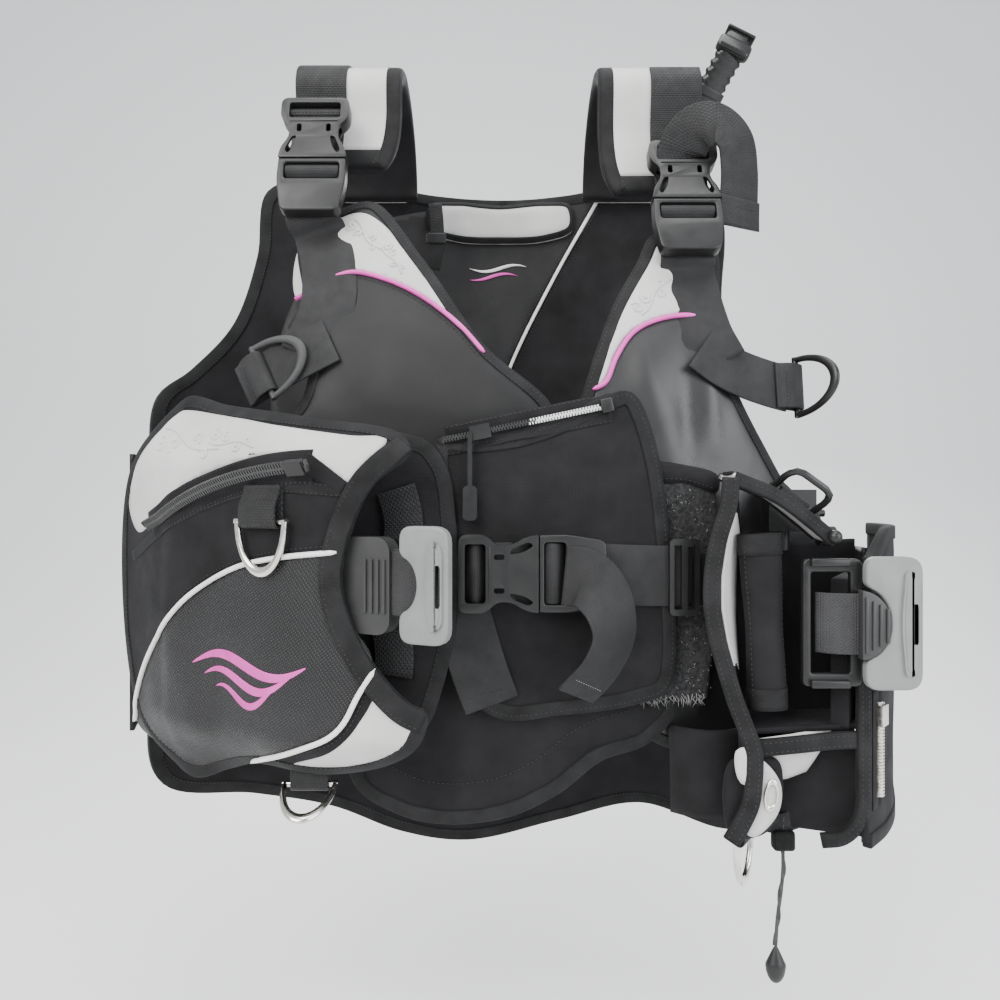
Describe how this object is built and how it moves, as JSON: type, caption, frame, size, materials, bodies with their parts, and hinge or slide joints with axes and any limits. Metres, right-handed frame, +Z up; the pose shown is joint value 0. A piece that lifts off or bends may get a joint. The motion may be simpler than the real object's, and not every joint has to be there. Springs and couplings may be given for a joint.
{
  "type": "buoyancy compensator vest",
  "caption": "Scuba diver's buoyancy vest on its shoulder pads: air bladder, front lobes, buckled straps, weight pockets, rings, inflator and tank band.",
  "frame": {"origin": "hang point: midway between the shoulder pads, level with the pads' undersides", "axes": "+Z up; +X towards the wearer's left; the wearer faces -Y"},
  "size_m": [0.577, 0.4521, 0.715],
  "materials": {
    "black_fabric": "woven black nylon, matte",
    "coated_fabric": "coated black nylon, slight sheen",
    "silver_fabric": "silver grey coated fabric, satin",
    "webbing": "black nylon webbing, coarse weave",
    "black_plastic": "moulded black acetal, satin",
    "grey_plastic": "moulded light grey plastic, satin",
    "steel": "polished stainless steel",
    "black_rubber": "black rubber, satin"
  },
  "bodies": {
    "vest": {"back_panel": "black_fabric", "air_bladder": "coated_fabric", "backpack_plate": "black_plastic", "carry_handle": "black_rubber", "tank_band": "webbing", "cam_buckle_body": "black_plastic", "shoulder_dump_valve": "black_plastic", "rear_dump_valve": "black_plastic", "neck_collar": "silver_fabric", "right_front_lobe": "coated_fabric", "left_front_lobe": "coated_fabric", "cummerbund": "black_fabric", "hook_column": "black_fabric", "zip_panel": "black_fabric", "waist_webbing": "webbing", "right_shoulder_pad": "silver_fabric", "left_shoulder_pad": "silver_fabric", "right_shoulder_buckle_female": "black_plastic", "left_shoulder_buckle_female": "black_plastic", "right_chest_webbing": "webbing", "left_chest_webbing": "webbing", "left_strap_tail": "webbing", "waist_buckle_female": "black_plastic", "front_zipper": "black_plastic", "right_pocket_back": "black_fabric", "right_pocket_cover": "black_fabric", "right_pocket_zipper": "black_plastic", "left_pocket_inner_wall": "coated_fabric", "left_pocket_outer_wall": "black_fabric", "left_pocket_roof": "silver_fabric", "left_pocket_roll": "black_fabric", "left_pocket_zipper": "silver_fabric", "inflator_housing": "black_plastic", "oral_inflation_tube": "black_rubber", "right_side_panel": "coated_fabric", "left_side_panel": "coated_fabric"},
    "right_buckle_male": {"right_shoulder_buckle_male": "black_plastic"},
    "left_buckle_male": {"left_shoulder_buckle_male": "black_plastic"},
    "waist_buckle_male": {"waist_buckle_male": "black_plastic", "waist_strap_tail": "webbing"},
    "waist_adjuster": {"waist_adjuster": "black_plastic"},
    "right_chest_ring": {"right_chest_ring": "grey_plastic"},
    "left_chest_ring": {"left_chest_ring": "black_plastic"},
    "pocket_ring": {"pocket_ring": "steel"},
    "right_lower_ring": {"right_lower_ring": "steel"},
    "left_lower_ring": {"left_lower_ring": "steel"},
    "accessory_ring": {"accessory_ring": "black_plastic"},
    "front_zip_slider": {"front_zip_slider": "steel"},
    "right_pocket_zip_slider": {"right_pocket_zip_slider": "black_plastic"},
    "left_pocket_zip_slider": {"left_pocket_zip_slider": "steel"},
    "right_weights": {"right_weight_pouch": "black_fabric", "right_weight_grip": "black_rubber", "right_weight_handle": "grey_plastic"},
    "left_weights": {"left_weight_pouch": "black_fabric", "left_weight_latch": "black_plastic", "left_weight_handle": "grey_plastic"},
    "cam_lever": {"cam_buckle_lever": "black_plastic"},
    "inflator_lever": {"inflator_lever": "black_plastic"},
    "dump_pull": {"pull_cord": "webbing", "pull_knob": "black_rubber"}
  },
  "joints": [
    {"name": "right_buckle_release", "type": "slide", "parent": "vest", "child": "right_buckle_male", "axis": [0, -0.2528, -0.9675], "range_m": [0, 0.03]},
    {"name": "left_buckle_release", "type": "slide", "parent": "vest", "child": "left_buckle_male", "axis": [0, -0.3268, -0.9451], "range_m": [0, 0.03]},
    {"name": "waist_buckle_release", "type": "slide", "parent": "vest", "child": "waist_buckle_male", "axis": [1, 0, 0], "range_m": [0, 0.03]},
    {"name": "waist_adjuster_slide", "type": "slide", "parent": "vest", "child": "waist_adjuster", "axis": [-0.9929, -0.119, 0], "range_m": [0, 0.02]},
    {"name": "right_chest_ring_swing", "type": "hinge", "parent": "vest", "child": "right_chest_ring", "pos_m": [-0.16073, -0.10418, -0.23899], "axis": [0.4488, -0.2934, -0.8441], "range_deg": [0, 150]},
    {"name": "left_chest_ring_swing", "type": "hinge", "parent": "vest", "child": "left_chest_ring", "pos_m": [0.20769, -0.08614, -0.24625], "axis": [0, -0.1426, -0.9898], "range_deg": [-70, 60]},
    {"name": "pocket_ring_swing", "type": "hinge", "parent": "vest", "child": "pocket_ring", "pos_m": [-0.14544, -0.16032, -0.338], "axis": [-0.8749, 0.4844, 0], "range_deg": [0, 120]},
    {"name": "right_lower_ring_swing", "type": "hinge", "parent": "vest", "child": "right_lower_ring", "pos_m": [-0.121, -0.13573, -0.506], "axis": [-1, 0, 0], "range_deg": [-60, 40]},
    {"name": "left_lower_ring_swing", "type": "hinge", "parent": "vest", "child": "left_lower_ring", "pos_m": [0.1572, -0.1303, -0.541], "axis": [-0.5548, -0.832, 0], "range_deg": [-20, 40]},
    {"name": "accessory_ring_swing", "type": "hinge", "parent": "vest", "child": "accessory_ring", "pos_m": [0.185, -0.139, -0.32495], "axis": [-0.809, 0, 0.5878], "range_deg": [-25, 90]},
    {"name": "front_zip_slide", "type": "slide", "parent": "vest", "child": "front_zip_slider", "axis": [0.9787, 0, 0.2051], "range_m": [-0.016, 0.07]},
    {"name": "right_pocket_zip_slide", "type": "hinge", "parent": "vest", "child": "right_pocket_zip_slider", "pos_m": [-0.04743, -0.03645, -0.53791], "axis": [-0.3063, -0.7734, -0.5549], "range_deg": [0, 20]},
    {"name": "left_pocket_zip_slide", "type": "slide", "parent": "vest", "child": "left_pocket_zip_slider", "axis": [0, 0, -1], "range_m": [0, 0.045]},
    {"name": "right_weights_slide", "type": "slide", "parent": "vest", "child": "right_weights", "axis": [0.9239, -0.3827, 0], "range_m": [0, 0.11]},
    {"name": "left_weights_slide", "type": "slide", "parent": "vest", "child": "left_weights", "axis": [-0.5316, -0.847, 0], "range_m": [0, 0.09]},
    {"name": "cam_lever_open", "type": "hinge", "parent": "vest", "child": "cam_lever", "pos_m": [0.022, 0.2493, -0.2346], "axis": [0, 0, -1], "range_deg": [0, 120]},
    {"name": "inflator_lever_rock", "type": "hinge", "parent": "vest", "child": "inflator_lever", "pos_m": [0.212, -0.10139, -0.334], "axis": [1, 0, 0], "range_deg": [-20, 20], "stiffness_Nm_per_rad": 0.05},
    {"name": "dump_pull", "type": "slide", "parent": "vest", "child": "dump_pull", "axis": [0, 0, -1], "range_m": [0, 0.012], "stiffness_N_per_m": 300}
  ]
}
